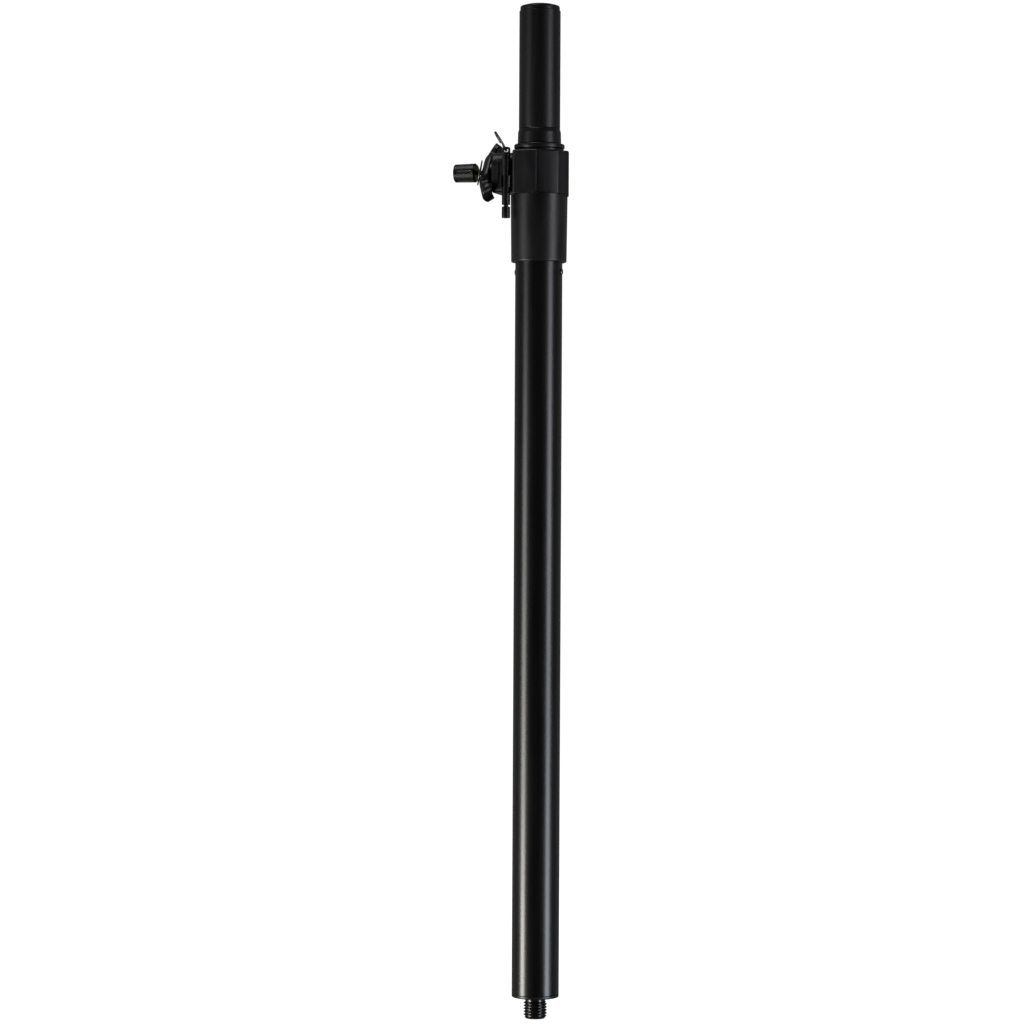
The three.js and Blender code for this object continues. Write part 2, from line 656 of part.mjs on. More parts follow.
pole.add(
  piece('plunger_pin', plungerPin(), steel()),
  piece('plunger_spring', plungerSpring(), steel()),
  piece('head_bush', headBush(), brass()),
  piece('pull_head', pullHead(), plastic()),
  piece('safety_pin', safetyPin(), blackSteel()),
  piece('split_ring', splitRing(), blackSteel()),
);

pole.add(
  piece('lower_guide_bush', lowerGuideBush(), nylon()),
  piece('inner_tube', innerTube(), paint()),
  piece('inner_end_plug', innerEndPlug(), plastic()),
  piece('stop_rivet_front', stopRivet(1), steel()),
  piece('stop_rivet_back', stopRivet(-1), steel()),
  piece('support_ring', supportRing(), plastic()),
  piece('support_band', supportBand(), plastic()),
  piece('spigot_sleeve', spigotSleeve(), plastic()),
  piece('spigot_cap', spigotCap(), plastic()),
);

export default pole;
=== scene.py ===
"""Looks of the telescopic loudspeaker pole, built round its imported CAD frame.

Metres, +Z up along the pole, the clamp axis along -X. Sizes that the frame doesn't give are written in
millimetres times MM.
"""
import json
import math

import bmesh
import bpy
from mathutils import Matrix, Vector


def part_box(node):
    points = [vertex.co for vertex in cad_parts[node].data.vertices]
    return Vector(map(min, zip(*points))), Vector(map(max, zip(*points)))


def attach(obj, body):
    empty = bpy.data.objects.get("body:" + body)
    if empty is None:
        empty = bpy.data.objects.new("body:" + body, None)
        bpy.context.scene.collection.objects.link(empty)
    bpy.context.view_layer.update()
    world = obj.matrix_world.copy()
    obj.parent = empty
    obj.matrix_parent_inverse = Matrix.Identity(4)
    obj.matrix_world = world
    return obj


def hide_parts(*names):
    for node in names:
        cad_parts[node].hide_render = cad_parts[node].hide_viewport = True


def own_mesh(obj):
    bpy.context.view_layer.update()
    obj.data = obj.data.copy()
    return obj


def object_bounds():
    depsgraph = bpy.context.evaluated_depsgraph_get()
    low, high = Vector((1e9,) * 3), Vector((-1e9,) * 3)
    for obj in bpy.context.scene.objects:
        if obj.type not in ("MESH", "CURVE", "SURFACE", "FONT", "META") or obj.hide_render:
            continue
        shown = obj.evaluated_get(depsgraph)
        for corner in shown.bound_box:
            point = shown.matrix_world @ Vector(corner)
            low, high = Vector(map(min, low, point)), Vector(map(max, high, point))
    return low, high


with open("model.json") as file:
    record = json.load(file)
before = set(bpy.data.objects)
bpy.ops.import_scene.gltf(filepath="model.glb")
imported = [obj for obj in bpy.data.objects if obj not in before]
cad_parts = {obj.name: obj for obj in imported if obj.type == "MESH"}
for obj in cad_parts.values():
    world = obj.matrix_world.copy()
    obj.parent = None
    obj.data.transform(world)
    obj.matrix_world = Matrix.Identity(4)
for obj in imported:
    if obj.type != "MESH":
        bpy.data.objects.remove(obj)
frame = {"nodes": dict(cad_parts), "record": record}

MM = 0.001
CAD_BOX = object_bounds()
SLOT_OF_NODE = {part["node"]: part["material_slot"] for part in frame["record"]["subparts"]}
BODIES = frame["record"]["behaviour"]["bodies"]
BODY_OF_NODE = {node: body for body, nodes in BODIES.items() for node in nodes}

# ---------------------------------------------------------------- the photograph's view

VIEW_YAW = math.radians(18)      # the camera stands this far round from -Y towards +X
CAMERA_DISTANCE = 2.7
VIEW_HEIGHT = 0.8678             # what the picture takes in at the pole, from its lower to its upper edge
EYE_HEIGHT = 0.4106
AIM_LEFT = 0.0221                # the picture's middle is this far left of the pole
ROLL = math.radians(0.29)
SENSOR = 36

RIGHT = Vector((math.cos(VIEW_YAW), math.sin(VIEW_YAW), 0))
TOWARD = Vector((math.sin(VIEW_YAW), -math.cos(VIEW_YAW), 0))
UP = Vector((0, 0, 1))


def in_view(right, toward, up):
    """A point given by how far it is to the right of the pole, towards the camera and up."""
    return RIGHT * right + TOWARD * toward + UP * up


def place_camera():
    data = bpy.data.cameras.new("camera")
    data.sensor_width = SENSOR
    data.lens = SENSOR * CAMERA_DISTANCE / VIEW_HEIGHT
    camera = bpy.data.objects.new("camera", data)
    bpy.context.scene.collection.objects.link(camera)
    facing = Matrix((RIGHT, UP, TOWARD)).transposed() @ Matrix.Rotation(ROLL, 3, "Z")
    place = in_view(-AIM_LEFT, CAMERA_DISTANCE, EYE_HEIGHT)
    camera.matrix_world = Matrix.Translation(place) @ facing.to_4x4()
    bpy.context.scene.camera = camera


# ---------------------------------------------------------------- light

LEFT_ANGLE = math.radians(-66.5)                    # each softbox stands this far round from the camera
RIGHT_ANGLE = math.radians(58.5)
LIGHT_DISTANCE = 1.7
PANEL_WIDTH = 0.6
PANEL_HEIGHT = 0.3
LOWEST_PANEL = -0.65
LEFT_COLOURS = ((1, 0.98, 0.91), (0.98, 0.96, 1))   # of a softbox's lowest and highest panels
RIGHT_COLOURS = ((0.85, 0.94, 1), (0.95, 0.91, 1))
LEFT_POWER = (10, 11.5, 4.9, 3, 0.5, 0.36)          # of a softbox's panels, from the lowest to the highest
RIGHT_POWER = (5, 6.7, 2.8, 3.7, 2.1, 1.7)
TOP_POWER = 7
TOP_SIZE = 0.8
TOP_PLACE = in_view(-0.5, 0.4, 2.2)
ROOM_IN_FRONT = 0.02                                # brightness of the room on the camera's side
ROOM_BEHIND = 0.175
ROOM_FADE = (-0.3, 0.6)                             # where it brightens: 1 is straight behind the pole
WHITE = 1.05                                        # brightness of the surroundings that the camera sees


def area_light(name, width, height, power, place):
    data = bpy.data.lights.new(name, "AREA")
    data.shape = "RECTANGLE"
    data.size = width
    data.size_y = height
    data.energy = power
    light = bpy.data.objects.new(name, data)
    bpy.context.scene.collection.objects.link(light)
    light.location = place
    return light


def softbox(name, angle, powers, colours):
    """A tall softbox in panels, at an angle round the pole from the camera."""
    across = LIGHT_DISTANCE * math.sin(angle)
    ahead = LIGHT_DISTANCE * math.cos(angle)
    for i, power in enumerate(powers):
        height = LOWEST_PANEL + (i + 0.5) * PANEL_HEIGHT
        light = area_light(name, PANEL_WIDTH, PANEL_HEIGHT, power, in_view(across, ahead, height))
        light.data.color = Vector(colours[0]).lerp(Vector(colours[1]), i / (len(powers) - 1))
        light.rotation_euler = in_view(-across, -ahead, 0).to_track_quat("-Z", "Y").to_euler()


def background(nodes, strength):
    shader = nodes.new("ShaderNodeBackground")
    shader.inputs["Color"].default_value = (1, 1, 1, 1)
    shader.inputs["Strength"].default_value = strength
    return shader


def white_surroundings():
    """White behind the pole for the camera, and a dim room with a brighter back wall for the pole."""
    world = bpy.data.worlds.new("studio")
    bpy.context.scene.world = world
    world.use_nodes = True
    nodes, links = world.node_tree.nodes, world.node_tree.links
    nodes.clear()
    place = nodes.new("ShaderNodeTexCoord")
    behind = nodes.new("ShaderNodeVectorMath")
    behind.operation = "DOT_PRODUCT"
    behind.inputs[1].default_value = -TOWARD
    links.new(place.outputs["Generated"], behind.inputs[0])
    wall = nodes.new("ShaderNodeMapRange")
    wall.interpolation_type = "SMOOTHSTEP"
    wall.inputs["From Min"].default_value = ROOM_FADE[0]
    wall.inputs["From Max"].default_value = ROOM_FADE[1]
    wall.inputs["To Min"].default_value = ROOM_IN_FRONT
    wall.inputs["To Max"].default_value = ROOM_BEHIND
    links.new(behind.outputs["Value"], wall.inputs["Value"])
    room = background(nodes, 1)
    links.new(wall.outputs["Result"], room.inputs["Strength"])
    white = background(nodes, WHITE)
    path = nodes.new("ShaderNodeLightPath")
    mix = nodes.new("ShaderNodeMixShader")
    links.new(path.outputs["Is Camera Ray"], mix.inputs["Fac"])
    links.new(room.outputs["Background"], mix.inputs[1])
    links.new(white.outputs["Background"], mix.inputs[2])
    output = nodes.new("ShaderNodeOutputWorld")
    links.new(mix.outputs["Shader"], output.inputs["Surface"])


def lay_floor():
    """A white floor that blends into the surroundings."""
    size = 6
    level = CAD_BOX[0][2] - 0.5 * MM
    mesh = bpy.data.meshes.new("floor")
    corners = [(x * size, y * size, level) for x, y in ((-1, -1), (1, -1), (1, 1), (-1, 1))]
    mesh.from_pydata(corners, [], [(0, 1, 2, 3)])
    floor = bpy.data.objects.new("floor", mesh)
    bpy.context.scene.collection.objects.link(floor)
    material, shader = new_material("pale_floor", (0.8, 0.8, 0.8), 1)
    shader.inputs["Specular IOR Level"].default_value = 0
    shader.inputs["Emission Color"].default_value = (1, 1, 1, 1)
    shader.inputs["Emission Strength"].default_value = 1
    mesh.materials.append(material)
    floor.visible_glossy = False
    floor.visible_diffuse = False
    floor.visible_shadow = False


# ---------------------------------------------------------------- materials

def new_material(name, colour, roughness, metallic=0.0):
    material = bpy.data.materials.new(name)
    material.use_nodes = True
    shader = material.node_tree.nodes["Principled BSDF"]
    shader.inputs["Base Color"].default_value = (*colour, 1)
    shader.inputs["Roughness"].default_value = roughness
    shader.inputs["Metallic"].default_value = metallic
    return material, shader


def noise(material, scale, detail=2.0, stretch=(1, 1, 1)):
    """Noise that is fixed to the piece, in waves a metre. A stretch below 1 draws it out along an axis."""
    nodes, links = material.node_tree.nodes, material.node_tree.links
    place = nodes.new("ShaderNodeTexCoord")
    mapping = nodes.new("ShaderNodeMapping")
    mapping.inputs["Scale"].default_value = stretch
    texture = nodes.new("ShaderNodeTexNoise")
    texture.inputs["Scale"].default_value = scale
    texture.inputs["Detail"].default_value = detail
    links.new(place.outputs["Object"], mapping.inputs["Vector"])
    links.new(mapping.outputs["Vector"], texture.inputs["Vector"])
    return texture.outputs["Fac"]


def spread(material, value, low, high, start=0.3, end=0.7):
    """Turns a value between start and end into one between low and high."""
    nodes, links = material.node_tree.nodes, material.node_tree.links
    ramp = nodes.new("ShaderNodeMapRange")
    ramp.inputs["From Min"].default_value = start
    ramp.inputs["From Max"].default_value = end
    ramp.inputs["To Min"].default_value = low
    ramp.inputs["To Max"].default_value = high
    links.new(value, ramp.inputs["Value"])
    return ramp.outputs["Result"]


def tint(material, value, dark, light, start=0.35, end=0.65):
    nodes, links = material.node_tree.nodes, material.node_tree.links
    ramp = nodes.new("ShaderNodeValToRGB")
    ramp.color_ramp.elements[0].position = start
    ramp.color_ramp.elements[0].color = (*dark, 1)
    ramp.color_ramp.elements[1].position = end
    ramp.color_ramp.elements[1].color = (*light, 1)
    links.new(value, ramp.inputs["Fac"])
    return ramp.outputs["Color"]


def bumps(material, shader, heights):
    """Bump in layers: each is a value and its depth in metres."""
    nodes, links = material.node_tree.nodes, material.node_tree.links
    last = None
    for value, depth in heights:
        bump = nodes.new("ShaderNodeBump")
        bump.inputs["Strength"].default_value = 1
        bump.inputs["Distance"].default_value = depth
        links.new(value, bump.inputs["Height"])
        if last:
            links.new(last, bump.inputs["Normal"])
        last = bump.outputs["Normal"]
    links.new(last, shader.inputs["Normal"])


def surface(name, dark, light, rough, metallic=0.0, grain=1400, depth=0.01 * MM, patches=60,
            stretch=(1, 1, 1)):
    """A used surface: its colour and gloss vary in patches, and a fine grain lies on it as bump."""
    material, shader = new_material(name, dark, rough[0], metallic)
    links = material.node_tree.links
    wear = noise(material, patches, 5, stretch)
    links.new(tint(material, wear, dark, light), shader.inputs["Base Color"])
    links.new(spread(material, wear, *rough), shader.inputs["Roughness"])
    bumps(material, shader, [
        (noise(material, grain / 6, 2, stretch), depth * 1.5),
        (noise(material, grain, 2), depth),
    ])
    return material


MATERIALS = {
    "gloss_paint": surface("gloss_paint", (0.002, 0.002, 0.0022), (0.003, 0.003, 0.0033), (0.25, 0.3),
                           grain=1500, depth=0.002 * MM, patches=90, stretch=(1, 1, 0.1)),
    "black_plastic": surface("black_plastic", (0.003, 0.003, 0.0037), (0.005, 0.005, 0.006), (0.33, 0.41),
                             grain=2200, depth=0.008 * MM, patches=150, stretch=(1, 1, 0.25)),
    "sleeve_plastic": surface("sleeve_plastic", (0.002, 0.002, 0.0026), (0.0035, 0.0035, 0.0045),
                              (0.34, 0.4), grain=2600, depth=0.006 * MM, patches=350, stretch=(1, 1, 0.05)),
    "black_steel": surface("black_steel", (0.003, 0.003, 0.003), (0.008, 0.008, 0.008), (0.22, 0.32),
                           grain=1800, depth=0.0008 * MM, patches=120),
    "zinc_steel": surface("zinc_steel", (0.14, 0.135, 0.12), (0.24, 0.235, 0.22), (0.25, 0.4), 1.0,
                          grain=1500, depth=0.004 * MM, patches=400),
    # yellow_zinc: an olive zinc tone, darkened far below what zinc plating reflects, as painted shade of
    # the recesses its parts sit in
    "yellow_zinc": surface("yellow_zinc", (0.03, 0.027, 0.012), (0.06, 0.054, 0.026), (0.32, 0.45), 1.0,
                           grain=1500, depth=0.004 * MM, patches=300),
    "nylon": surface("nylon", (0.56, 0.55, 0.5), (0.62, 0.61, 0.56), (0.4, 0.5), grain=900),
}

# ---------------------------------------------------------------- ways to make a mesh

SHARP = math.radians(32)


def smooth(mesh):
    mesh.polygons.foreach_set("use_smooth", [True] * len(mesh.polygons))
    mesh.set_sharp_from_angle(angle=SHARP)


def finish_mesh(name, form):
    """The bmesh as an object, with its faces pointing out."""
    bmesh.ops.recalc_face_normals(form, faces=form.faces)
    mesh = bpy.data.meshes.new(name)
    form.to_mesh(mesh)
    form.free()
    smooth(mesh)
    piece = bpy.data.objects.new(name, mesh)
    bpy.context.scene.collection.objects.link(piece)
    return piece


def rounded(outline, closed, steps=5):
    """Rounds a flat outline's corners. Each corner is (across, along) or (across, along, its radius)."""
    result = []
    count = len(outline)
    for i, corner in enumerate(outline):
        point = Vector(corner[:2])
        size = corner[2] if len(corner) > 2 else 0
        if not size or (not closed and i in (0, count - 1)):
            result.append(point)
            continue
        before = Vector(outline[i - 1][:2]) - point
        after = Vector(outline[(i + 1) % count][:2]) - point
        back = min(size / math.tan(before.angle(after) / 2), before.length * 0.49, after.length * 0.49)
        start = point + before.normalized() * back
        end = point + after.normalized() * back
        for k in range(steps + 1):
            t = k / steps
            result.append(start * (1 - t) ** 2 + point * 2 * t * (1 - t) + end * t ** 2)
    return result


def link_rows(form, low, high):
    """Faces between two rows of corners that each go all the way round."""
    count = len(low)
    for i in range(count):
        j = (i + 1) % count
        corners = list(dict.fromkeys((low[i], low[j], high[j], high[i])))
        if len(corners) > 2:
            form.faces.new(corners)


def turned(name, outline, sides, shape=None):
    """Turns an outline of (radius, height) about the Z axis. Shape moves each (radius, height, angle)."""
    closed = outline[0][0] > 0
    form = bmesh.new()
    rows = []
    for radius, height in rounded(outline, closed):
        if radius < 1e-7:
            rows.append([form.verts.new((0, 0, height))] * sides)
            continue
        row = []
        for i in range(sides):
            angle = 2 * math.pi * i / sides
            r, z = shape(radius, height, angle) if shape else (radius, height)
            row.append(form.verts.new((r * math.cos(angle), r * math.sin(angle), z)))
        rows.append(row)
    for low, high in zip(rows, rows[1:] + rows[:1] if closed else rows[1:]):
        link_rows(form, low, high)
    return finish_mesh(name, form)


def rod(name, radius, bottom, top, sides):
    return turned(name, [(0, bottom), (radius, bottom), (radius, top), (0, top)], sides)


def inset(points, depth):
    """A closed outline that runs anticlockwise, moved inwards by depth."""
    moved = []
    count = len(points)
    for i, point in enumerate(points):
        along_before = (point - points[i - 1]).normalized()
        along_after = (points[(i + 1) % count] - point).normalized()
        inward = Vector((-along_before.y - along_after.y, along_before.x + along_after.x)).normalized()
        slant = max(0.3, inward.dot(Vector((-along_before.y, along_before.x))))
        moved.append(point + inward * depth / slant)
    return moved


def prism(name, outline, bottom, top, edge, low_edge=None):
    """Raises a convex outline from bottom to top, with its end edges rounded."""
    points = rounded(outline, True)
    steps = 4
    low_edge = edge if low_edge is None else low_edge
    levels = []
    for k in range(steps + 1):
        turn = math.pi / 2 * k / steps
        levels.append((low_edge * (1 - math.sin(turn)), bottom + low_edge * (1 - math.cos(turn))))
    for k in range(steps + 1):
        turn = math.pi / 2 * k / steps
        levels.append((edge * (1 - math.cos(turn)), top - edge * (1 - math.sin(turn))))
    form = bmesh.new()
    rows = [[form.verts.new((p.x, p.y, height)) for p in inset(points, depth)] for depth, height in levels]
    for low, high in zip(rows, rows[1:]):
        link_rows(form, low, high)
    form.faces.new(rows[0])
    form.faces.new(rows[-1])
    return finish_mesh(name, form)


def swept(name, path, section, closed=False):
    """Sweeps a section of (outwards, up) offsets along a path of points round the Z axis."""
    form = bmesh.new()
    rows = []
    for point in path:
        outward = Vector((point.x, point.y, 0)).normalized()
        rows.append([form.verts.new(point + outward * a + UP * b) for a, b in section])
    for low, high in zip(rows, rows[1:] + rows[:1] if closed else rows[1:]):
        link_rows(form, low, high)
    if not closed:
        form.faces.new(rows[0])
        form.faces.new(rows[-1])
    return finish_mesh(name, form)


def circle(radius, sides):
    turn = 2 * math.pi / sides
    return [Vector((radius * math.cos(i * turn), radius * math.sin(i * turn))) for i in range(sides)]


def box(name, middle, size):
    form = bmesh.new()
    bmesh.ops.create_cube(form, size=1, matrix=Matrix.Translation(middle) @ Matrix.Diagonal((*size, 1)))
    return finish_mesh(name, form)


def moved(piece, matrix):
    piece.data.transform(matrix)
    return piece


def to_clamp_axis(piece):
    """Lays a piece built along +Z on the clamp axis: its height becomes its distance from the pole."""
    return moved(piece, Matrix.Translation((0, 0, CLAMP_Z)) @ Matrix.Rotation(-math.pi / 2, 4, "Y"))


def modified(piece, kind, **settings):
    """The piece with a modifier's result as its mesh."""
    modifier = piece.modifiers.new(kind, kind)
    for key, value in settings.items():
        setattr(modifier, key, value)
    graph = bpy.context.evaluated_depsgraph_get()
    mesh = bpy.data.meshes.new_from_object(piece.evaluated_get(graph), depsgraph=graph)
    piece.modifiers.clear()
    piece.data = mesh
    smooth(mesh)
    return piece


def combined(piece, operation, *others):
    for other in others:
        modified(piece, "BOOLEAN", operation=operation, solver="EXACT", object=other)
        bpy.data.objects.remove(other)
    return piece


def together(name, *pieces):
    """One object of several meshes that don't touch or only meet inside."""
    form = bmesh.new()
    for piece in pieces:
        form.from_mesh(piece.data)
        bpy.data.objects.remove(piece)
    return finish_mesh(name, form)


def stand_in(piece, node):
    """Shows the piece in place of a CAD node, on the node's body and in its material."""
    slot = SLOT_OF_NODE[node]
    piece.name = node + "_fine"
    piece.data.materials.clear()
    piece.data.materials.append(MATERIALS[slot])
    normals = piece.modifiers.new("normals", "WEIGHTED_NORMAL")
    normals.keep_sharp = True
    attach(piece, BODY_OF_NODE[node])
    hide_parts(node)


def upright(node):
    """(radius, bottom, top) of a round node on the pole's axis."""
    low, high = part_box(node)
    return high.x, low.z, high.z


def sideways(node):
    """(radius, inner end, outer end) of a round node on the clamp axis, measured from the pole's axis."""
    low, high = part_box(node)
    return (high.y - low.y) / 2, -high.x, -low.x


CLAMP_Z = (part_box("plunger_pin")[0].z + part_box("plunger_pin")[1].z) / 2
GAP = 0.3 * MM

# ---------------------------------------------------------------- tubes, caps and rings

TUBE_WALL = 1.5 * MM
MAST_WALL = 2 * MM
MAST_R = upright("inner_tube")[0]
TUBE_SEAT_R = 20.3 * MM          # bore of what sits round the outer tube
HOLE_STEP = 50 * MM              # between the mast's holes, the highest half a step below the clamp axis
HOLE_R = 4 * MM
HOLES_END = 226 * MM             # no hole lies below this height


def outer_tube():
    radius, bottom, top = upright("outer_tube")
    bore = radius - TUBE_WALL
    return turned("tube", [(bore, bottom), (radius, bottom, 0.3 * MM), (radius, top), (bore, top)], 144)


def bottom_cap():
    radius, bottom, top = upright("bottom_cap")
    bore = 10.3 * MM
    lip = 2.5 * MM
    plug = radius - TUBE_WALL - GAP
    return turned("cap", [
        (bore, bottom, 0.3 * MM), (radius, bottom, 1.1 * MM), (radius, bottom + lip, 0.2 * MM),
        (plug, bottom + lip), (plug, top, 1 * MM), (bore, top)], 144)


def tube_socket():
    _, bottom, top = upright("tube_socket")
    low_radius, high_radius = 23.5 * MM, 24.15 * MM
    return turned("socket", [
        (TUBE_SEAT_R, bottom, 0.8 * MM), (low_radius, bottom, 1.4 * MM), (high_radius, top, 0.2 * MM),
        (TUBE_SEAT_R, top)], 144)


def mast_tube():
    radius, bottom, top = upright("inner_tube")
    bore = radius - MAST_WALL
    tube = turned("mast", [(bore, bottom), (radius, bottom, 0.3 * MM), (radius, top), (bore, top)], 128)
    drills = []
    height = CLAMP_Z - HOLE_STEP / 2
    while height > HOLES_END:
        drill = rod("drill", HOLE_R, -20 * MM, 20 * MM, 32)
        drills.append(moved(to_clamp_axis(drill), Matrix.Translation((0, 0, height - CLAMP_Z))))
        height -= HOLE_STEP
    return combined(tube, "DIFFERENCE", together("drills", *drills))


def support_ring():
    radius, bottom, top = upright("support_ring")
    bore = MAST_R + GAP
    ledge = 18.8 * MM
    return turned("ring", [
        (bore, bottom), (radius, bottom, 1.1 * MM), (radius, top, 1.1 * MM), (ledge, top, 0.1 * MM),
        (ledge, top - 0.4 * MM), (bore, top - 0.4 * MM)], 144)


def support_band():
    radius, bottom, top = upright("support_band")
    bore = MAST_R + GAP
    sleeve = 17.5 * MM
    neck, neck_height = 18.2 * MM, 9.5 * MM
    return turned("band", [
        (bore, bottom), (radius, bottom, 0.3 * MM), (neck, bottom + neck_height, 1 * MM),
        (sleeve + 0.1 * MM, top - 0.6 * MM, 1 * MM), (sleeve - 0.2 * MM, top), (bore, top)], 144)


def spigot_sleeve():
    radius, bottom, top = upright("spigot_sleeve")
    bore = MAST_R + GAP
    return turned("sleeve", [
        (bore, bottom), (radius, bottom, 0.2 * MM), (radius, top, 0.2 * MM), (bore, top)], 144)


def spigot_cap():
    radius, bottom, top = upright("spigot_cap")
    plug = MAST_R - MAST_WALL - GAP
    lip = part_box("spigot_sleeve")[1].z + GAP
    dish = 9 * MM
    dish_floor = top - 0.5 * MM
    return turned("spigot_end", [
        (0, bottom), (plug, bottom, 1 * MM), (plug, lip), (radius, lip, 0.3 * MM),
        (radius, top - 1.5 * MM, 1.8 * MM), (radius - 5.6 * MM, top, 1 * MM),
        (dish + 0.6 * MM, top, 0.3 * MM), (dish, dish_floor, 0.3 * MM), (0, dish_floor)], 144)


# ---------------------------------------------------------------- stud

STUD_R = 10 * MM
STUD_ROOT_R = 8.5 * MM
STUD_PITCH = 2.5 * MM
STUD_NECK = -3.4 * MM            # where the thread ends below the cap
SHANK_TOP = 41 * MM
HEAD_BOTTOM = 41.3 * MM
HEAD_TOP = 53 * MM
HEAD_CORNER_R = 17.3 * MM
FLANK_BOTTOM = 0.375             # a thread's flank, as shares of the pitch from the middle of its crest
FLANK_TOP = 0.0625


def thread_radius(height, angle, crest, root, pitch):
    """Radius of a right-hand thread."""
    phase = (height / pitch - angle / (2 * math.pi)) % 1
    from_crest = abs(phase - 0.5)
    ridge = (FLANK_BOTTOM - from_crest) / (FLANK_BOTTOM - FLANK_TOP)
    return root + (crest - root) * min(1, max(0, ridge))


def stud_bolt():
    _, bottom, _ = upright("stud_bolt")
    rows = 120
    outline = [(0, bottom)]
    outline += [(STUD_R, bottom + (STUD_NECK - bottom) * k / rows) for k in range(rows + 1)]
    outline += [(STUD_ROOT_R, STUD_NECK + 0.5 * MM), (STUD_ROOT_R, -0.6 * MM), (STUD_R, 0.4 * MM),
                (STUD_R, SHANK_TOP), (0, SHANK_TOP)]

    def cut_thread(radius, height, angle):
        if height > STUD_NECK + 0.1 * MM:
            return radius, height
        chamfer = STUD_ROOT_R - 0.4 * MM + (height - bottom) * 0.75
        runout = STUD_ROOT_R + max(0, STUD_NECK - height) * 1.5
        thread = thread_radius(height, angle, STUD_R, STUD_ROOT_R, STUD_PITCH)
        return min(thread, chamfer, max(runout, STUD_ROOT_R)), height

    shank = turned("shank", outline, 96, cut_thread)
    corners = [(*corner, 0.5 * MM) for corner in circle(HEAD_CORNER_R, 6)]
    head = prism("head", corners, HEAD_BOTTOM, HEAD_TOP, 0.6 * MM)
    return together("stud", shank, head)


# ---------------------------------------------------------------- clamp collar

COLLAR_TOP = 716.1 * MM
COLLAR_SKIRT = 2 * MM            # how much lower the collar's bottom lies on the side away from the clamp
COLLAR_CORNER = 2.5 * MM
COLLAR_BACK = 26.4 * MM          # the ridge on the side away from the clamp
SLANT_FROM = (20.6 * MM, 12.6 * MM)
SLANT_TO = (4.2 * MM, 23.3 * MM)
SLANT_BULGE = 0.035              # how far the slanted facets stand out, as a share of their width
COLLAR_FRONT = -17.2 * MM
FRONT_HALF_WIDE = 12 * MM
NECK_R = 20.5 * MM
SEAM_R = 0.6 * MM                # of the raised seam line down each side
SEAM_X = 4.3 * MM
SEAM_Y = 23.2 * MM
BOSS_BOTTOM = 681 * MM
BOSS_TOP = 715.7 * MM
BOSS_START = 8 * MM
BOSS_HALF_WIDE = 14 * MM
BOSS_TOP_CORNER = 12 * MM
BOSS_LOW_CORNER = 4 * MM
SOCKET_BORE_R = 24.45 * MM
GRIP_BORE_R = 18.5 * MM
GRIP_BOTTOM = 688.3 * MM
GRIP_TOP = 713.8 * MM
NECK_BORE_R = 16.6 * MM
SCREW_HOLE_R = 7.6 * MM
INSERT_HOLE_R = 10.3 * MM
INSERT_START = 23.2 * MM
GROOVE_X = -31.2 * MM            # of the upright groove in each of the boss's flanks


def collar_outline():
    """The collar as seen from above: a ridge, a slanted facet and a flat side, twice."""
    (x0, y0), (x1, y1) = SLANT_FROM, SLANT_TO
    half = [(COLLAR_BACK, 0, COLLAR_CORNER), (x0, y0, COLLAR_CORNER)]
    for k in range(1, 8):
        share = k / 8
        out = 4 * SLANT_BULGE * share * (1 - share)
        half.append((x0 + (x1 - x0) * share + (y1 - y0) * out, y0 + (y1 - y0) * share - (x1 - x0) * out, 0))
    half += [(x1, y1, COLLAR_CORNER), (COLLAR_FRONT, y1, COLLAR_CORNER), (COLLAR_FRONT, FRONT_HALF_WIDE, 0)]
    return half + [(x, -y, r) for x, y, r in reversed(half[1:])]


def collar_shell(bottom):
    """The outline raised, with its bottom lowered where it is away from the clamp."""
    slope_start, slope_length = 8 * MM, 12 * MM
    shell = prism("collar", collar_outline(), bottom + COLLAR_SKIRT, COLLAR_TOP, 1.7 * MM, 0.5 * MM)
    for vertex in shell.data.vertices:
        back = min(1, max(0, (vertex.co.x - slope_start) / slope_length))
        if vertex.co.z < bottom + 10 * MM:
            vertex.co.z -= COLLAR_SKIRT * back * back * (3 - 2 * back)
    return shell


def collar_boss(end):
    """The block that the clamp screw runs in."""
    middle = (BOSS_BOTTOM + BOSS_TOP) / 2
    tall = (BOSS_TOP - BOSS_BOTTOM) / 2
    section = [(tall, -BOSS_HALF_WIDE, BOSS_TOP_CORNER), (tall, BOSS_HALF_WIDE, BOSS_TOP_CORNER),
               (-tall, BOSS_HALF_WIDE, BOSS_LOW_CORNER), (-tall, -BOSS_HALF_WIDE, BOSS_LOW_CORNER)]
    boss = prism("boss", section, BOSS_START, end, 1.2 * MM)
    return moved(to_clamp_axis(boss), Matrix.Translation((0, 0, middle - CLAMP_Z)))


def collar_bore(bottom, top):
    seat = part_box("tube_socket")[1].z + GAP
    below, above = bottom - 1 * MM, top + 1 * MM
    return turned("bore", [
        (0, below), (SOCKET_BORE_R, below), (SOCKET_BORE_R, seat), (TUBE_SEAT_R, seat),
        (TUBE_SEAT_R, GRIP_BOTTOM), (GRIP_BORE_R, GRIP_BOTTOM), (GRIP_BORE_R, GRIP_TOP),
        (NECK_BORE_R, GRIP_TOP), (NECK_BORE_R, above), (0, above)], 144)


def screw_hole():
    return to_clamp_axis(turned("screw_hole", [
        (0, 10 * MM), (SCREW_HOLE_R, 10 * MM), (SCREW_HOLE_R, INSERT_START), (INSERT_HOLE_R, INSERT_START),
        (INSERT_HOLE_R, 40 * MM), (0, 40 * MM)], 64))


